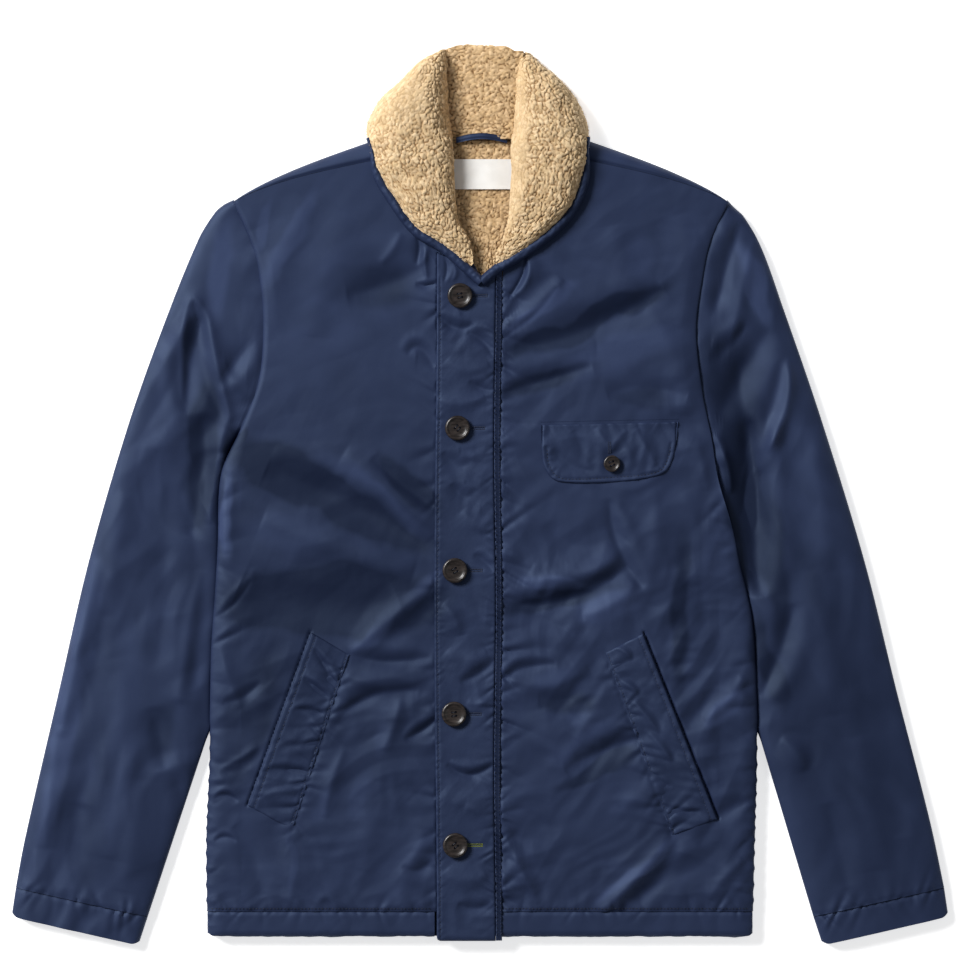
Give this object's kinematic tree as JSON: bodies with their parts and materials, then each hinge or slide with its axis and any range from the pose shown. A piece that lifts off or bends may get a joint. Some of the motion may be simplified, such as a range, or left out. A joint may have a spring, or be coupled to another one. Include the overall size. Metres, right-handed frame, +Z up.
{
  "type": "deck jacket",
  "caption": "Padded deck jacket laid flat on its back, buttoned up, with a pile-faced shawl collar, slanted hand pockets and a buttoned chest flap.",
  "frame": {"origin": "on the surface it lies on, under the middle of the whole jacket", "axes": "+Z up out of the front, +Y towards the collar, +X towards the wearer's left sleeve"},
  "size_m": [0.8448, 0.81, 0.041],
  "materials": {
    "shell": "satin-woven navy nylon, quilted from behind",
    "pile": "curly tan pile fleece",
    "label": "off-white woven cotton, blank",
    "button": "dark brown, polished rim"
  },
  "bodies": {
    "root": {"back_panel": "shell", "right_front": "shell", "left_front": "shell", "placket_band": "shell", "placket_strip": "shell", "right_hem": "shell", "left_hem": "shell", "back_hem": "shell", "right_sleeve": "shell", "left_sleeve": "shell", "right_cuff": "shell", "left_cuff": "shell", "right_hand_welt": "shell", "left_hand_welt": "shell", "right_collar_pile": "pile", "left_collar_pile": "pile", "back_collar_pile": "pile", "right_collar_rim": "shell", "left_collar_rim": "shell", "under_collar": "shell", "neck_lining": "pile", "hanger_loop": "shell", "neck_label": "label", "chest_flap": "shell", "front_button_1": "button", "front_button_2": "button", "front_button_3": "button", "front_button_4": "button", "front_button_5": "button", "flap_button": "button"}
  },
  "joints": []
}
